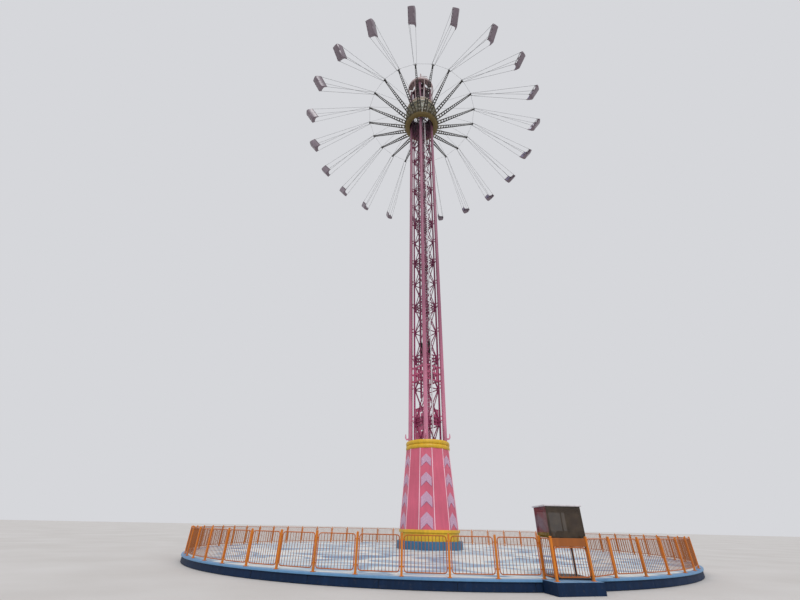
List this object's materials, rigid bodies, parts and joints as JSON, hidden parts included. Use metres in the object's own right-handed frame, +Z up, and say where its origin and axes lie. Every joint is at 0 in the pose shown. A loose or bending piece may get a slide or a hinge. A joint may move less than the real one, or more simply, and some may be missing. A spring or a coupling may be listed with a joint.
{
  "type": "chair swing ride scale model",
  "caption": "Tall chair swing ride: lattice mast with a sliding gondola, radial arms and double seats on cables, round fenced platform, conical skirt and glazed booth.",
  "frame": {"origin": "centre of the mast on the ground, in the middle of the flat underside of the platform", "axes": "+Z up along the mast; -Y towards the first arm, the seam side that the picture was taken from, about 5 degrees to the left of its camera; +X to the right of it"},
  "size_m": [13.62, 13.62, 26.25],
  "materials": {
    "mast_paint": "satin pink paint",
    "skirt_paint": "satin pink paint with pale joint strips and lilac arrows",
    "yellow_paint": "satin yellow paint",
    "blue_paint": "satin blue paint",
    "navy_paint": "satin dark blue paint",
    "deck_paint": "worn floor paint in white and light blue waves",
    "fence_paint": "gloss orange paint",
    "gondola_paint": "satin olive gold paint",
    "crown_paint": "satin brown red paint",
    "rope_steel": "galvanised wire rope",
    "white_paint": "satin white paint",
    "seat_paint": "moulded glass fibre shell, purple grey and pink",
    "frame_paint": "satin dark brown paint",
    "booth_glass": "clear safety glass"
  },
  "bodies": {
    "base": {"base_ring": "yellow_paint", "booth_fence": "fence_paint", "booth_floor": "frame_paint", "booth_frame": "frame_paint", "booth_glass": "booth_glass", "booth_roof": "white_paint", "crown_cage": "crown_paint", "crown_deck": "crown_paint", "fence_1": "fence_paint", "fence_2": "fence_paint", "fence_3": "fence_paint", "fence_4": "fence_paint", "guide_tube_back": "mast_paint", "guide_tube_front": "mast_paint", "guide_tube_left": "mast_paint", "guide_tube_right": "mast_paint", "ladder": "white_paint", "mast_side_left_back": "mast_paint", "mast_side_left_front": "mast_paint", "mast_side_right_back": "mast_paint", "mast_side_right_front": "mast_paint", "platform_base": "navy_paint", "platform_deck": "deck_paint", "plinth": "blue_paint", "service_pipe": "white_paint", "skirt": "skirt_paint", "skirt_top_ring": "yellow_paint", "step_pad": "navy_paint"},
    "carriage": {"carriage_sleeve": "mast_paint"},
    "rotor": {"lower_ring": "yellow_paint", "drum": "gondola_paint", "stay_ring": "gondola_paint", "stay_ropes": "rope_steel", "arms_1": "gondola_paint", "arms_2": "gondola_paint", "arms_3": "gondola_paint"},
    "chair_01": {"chair_01": "seat_paint"},
    "chair_02": {"chair_02": "seat_paint"},
    "chair_03": {"chair_03": "seat_paint"},
    "chair_04": {"chair_04": "seat_paint"},
    "chair_05": {"chair_05": "seat_paint"},
    "chair_06": {"chair_06": "seat_paint"},
    "chair_07": {"chair_07": "seat_paint"},
    "chair_08": {"chair_08": "seat_paint"},
    "chair_09": {"chair_09": "seat_paint"},
    "chair_10": {"chair_10": "seat_paint"},
    "chair_11": {"chair_11": "seat_paint"},
    "chair_12": {"chair_12": "seat_paint"},
    "chair_13": {"chair_13": "seat_paint"},
    "chair_14": {"chair_14": "seat_paint"},
    "chair_15": {"chair_15": "seat_paint"},
    "chair_16": {"chair_16": "seat_paint"},
    "chair_17": {"chair_17": "seat_paint"},
    "chair_18": {"chair_18": "seat_paint"},
    "chair_19": {"chair_19": "seat_paint"},
    "chair_20": {"chair_20": "seat_paint"},
    "chair_21": {"chair_21": "seat_paint"}
  },
  "joints": [
    {"name": "hoist", "type": "slide", "parent": "base", "child": "carriage", "axis": [0, 0, 1], "range_m": [-17.6, 0]},
    {"name": "spin", "type": "hinge", "parent": "carriage", "child": "rotor", "pos_m": [0, 0, 22], "axis": [0, 0, -1], "continuous": true},
    {"name": "swing_01", "type": "hinge", "parent": "rotor", "child": "chair_01", "pos_m": [0, -3.217, 22.235], "axis": [-0.9981, -0.0611, 0], "range_deg": [-54.4, 5.6]},
    {"name": "swing_02", "type": "hinge", "parent": "rotor", "child": "chair_02", "pos_m": [0.94823, -3.07408, 22.235], "axis": [-0.9358, -0.3525, 0], "range_deg": [-54.4, 5.6]},
    {"name": "swing_03", "type": "hinge", "parent": "rotor", "child": "chair_03", "pos_m": [1.8122, -2.65801, 22.235], "axis": [-0.7903, -0.6127, 0], "range_deg": [-54.4, 5.6]},
    {"name": "swing_04", "type": "hinge", "parent": "rotor", "child": "chair_04", "pos_m": [2.51515, -2.00577, 22.235], "axis": [-0.5746, -0.8184, 0], "range_deg": [-54.4, 5.6]},
    {"name": "swing_05", "type": "hinge", "parent": "rotor", "child": "chair_05", "pos_m": [2.99462, -1.1753, 22.235], "axis": [-0.3078, -0.9514, 0], "range_deg": [-54.4, 5.6]},
    {"name": "swing_06", "type": "hinge", "parent": "rotor", "child": "chair_06", "pos_m": [3.208, -0.24041, 22.235], "axis": [-0.0137, -0.9999, 0], "range_deg": [-54.4, 5.6]},
    {"name": "swing_07", "type": "hinge", "parent": "rotor", "child": "chair_07", "pos_m": [3.13634, 0.71585, 22.235], "axis": [0.2816, -0.9595, 0], "range_deg": [-54.4, 5.6]},
    {"name": "swing_08", "type": "hinge", "parent": "rotor", "child": "chair_08", "pos_m": [2.786, 1.6085, 22.235], "axis": [0.5519, -0.8339, 0], "range_deg": [-54.4, 5.6]},
    {"name": "swing_09", "type": "hinge", "parent": "rotor", "child": "chair_09", "pos_m": [2.18812, 2.35823, 22.235], "axis": [0.7732, -0.6342, 0], "range_deg": [-54.4, 5.6]},
    {"name": "swing_10", "type": "hinge", "parent": "rotor", "child": "chair_10", "pos_m": [1.3958, 2.89842, 22.235], "axis": [0.9258, -0.3781, 0], "range_deg": [-54.4, 5.6]},
    {"name": "swing_11", "type": "hinge", "parent": "rotor", "child": "chair_11", "pos_m": [0.47947, 3.18107, 22.235], "axis": [0.9961, -0.0884, 0], "range_deg": [-54.4, 5.6]},
    {"name": "swing_12", "type": "hinge", "parent": "rotor", "child": "chair_12", "pos_m": [-0.47947, 3.18107, 22.235], "axis": [0.9779, 0.2091, 0], "range_deg": [-54.4, 5.6]},
    {"name": "swing_13", "type": "hinge", "parent": "rotor", "child": "chair_13", "pos_m": [-1.3958, 2.89842, 22.235], "axis": [0.8728, 0.4881, 0], "range_deg": [-54.4, 5.6]},
    {"name": "swing_14", "type": "hinge", "parent": "rotor", "child": "chair_14", "pos_m": [-2.18812, 2.35823, 22.235], "axis": [0.6902, 0.7237, 0], "range_deg": [-54.4, 5.6]},
    {"name": "swing_15", "type": "hinge", "parent": "rotor", "child": "chair_15", "pos_m": [-2.786, 1.6085, 22.235], "axis": [0.4462, 0.8949, 0], "range_deg": [-54.4, 5.6]},
    {"name": "swing_16", "type": "hinge", "parent": "rotor", "child": "chair_16", "pos_m": [-3.13634, 0.71585, 22.235], "axis": [0.1626, 0.9867, 0], "range_deg": [-54.4, 5.6]},
    {"name": "swing_17", "type": "hinge", "parent": "rotor", "child": "chair_17", "pos_m": [-3.208, -0.24041, 22.235], "axis": [-0.1355, 0.9908, 0], "range_deg": [-54.4, 5.6]},
    {"name": "swing_18", "type": "hinge", "parent": "rotor", "child": "chair_18", "pos_m": [-2.99462, -1.1753, 22.235], "axis": [-0.4215, 0.9068, 0], "range_deg": [-54.4, 5.6]},
    {"name": "swing_19", "type": "hinge", "parent": "rotor", "child": "chair_19", "pos_m": [-2.51515, -2.00577, 22.235], "axis": [-0.6701, 0.7423, 0], "range_deg": [-54.4, 5.6]},
    {"name": "swing_20", "type": "hinge", "parent": "rotor", "child": "chair_20", "pos_m": [-1.8122, -2.65801, 22.235], "axis": [-0.8591, 0.5118, 0], "range_deg": [-54.4, 5.6]},
    {"name": "swing_21", "type": "hinge", "parent": "rotor", "child": "chair_21", "pos_m": [-0.94823, -3.07408, 22.235], "axis": [-0.9718, 0.2359, 0], "range_deg": [-54.4, 5.6]}
  ],
  "couplings": [
    {"joint": "swing_02", "follows": "swing_01", "ratio": 1},
    {"joint": "swing_03", "follows": "swing_01", "ratio": 1},
    {"joint": "swing_04", "follows": "swing_01", "ratio": 1},
    {"joint": "swing_05", "follows": "swing_01", "ratio": 1},
    {"joint": "swing_06", "follows": "swing_01", "ratio": 1},
    {"joint": "swing_07", "follows": "swing_01", "ratio": 1},
    {"joint": "swing_08", "follows": "swing_01", "ratio": 1},
    {"joint": "swing_09", "follows": "swing_01", "ratio": 1},
    {"joint": "swing_10", "follows": "swing_01", "ratio": 1},
    {"joint": "swing_11", "follows": "swing_01", "ratio": 1},
    {"joint": "swing_12", "follows": "swing_01", "ratio": 1},
    {"joint": "swing_13", "follows": "swing_01", "ratio": 1},
    {"joint": "swing_14", "follows": "swing_01", "ratio": 1},
    {"joint": "swing_15", "follows": "swing_01", "ratio": 1},
    {"joint": "swing_16", "follows": "swing_01", "ratio": 1},
    {"joint": "swing_17", "follows": "swing_01", "ratio": 1},
    {"joint": "swing_18", "follows": "swing_01", "ratio": 1},
    {"joint": "swing_19", "follows": "swing_01", "ratio": 1},
    {"joint": "swing_20", "follows": "swing_01", "ratio": 1},
    {"joint": "swing_21", "follows": "swing_01", "ratio": 1}
  ]
}
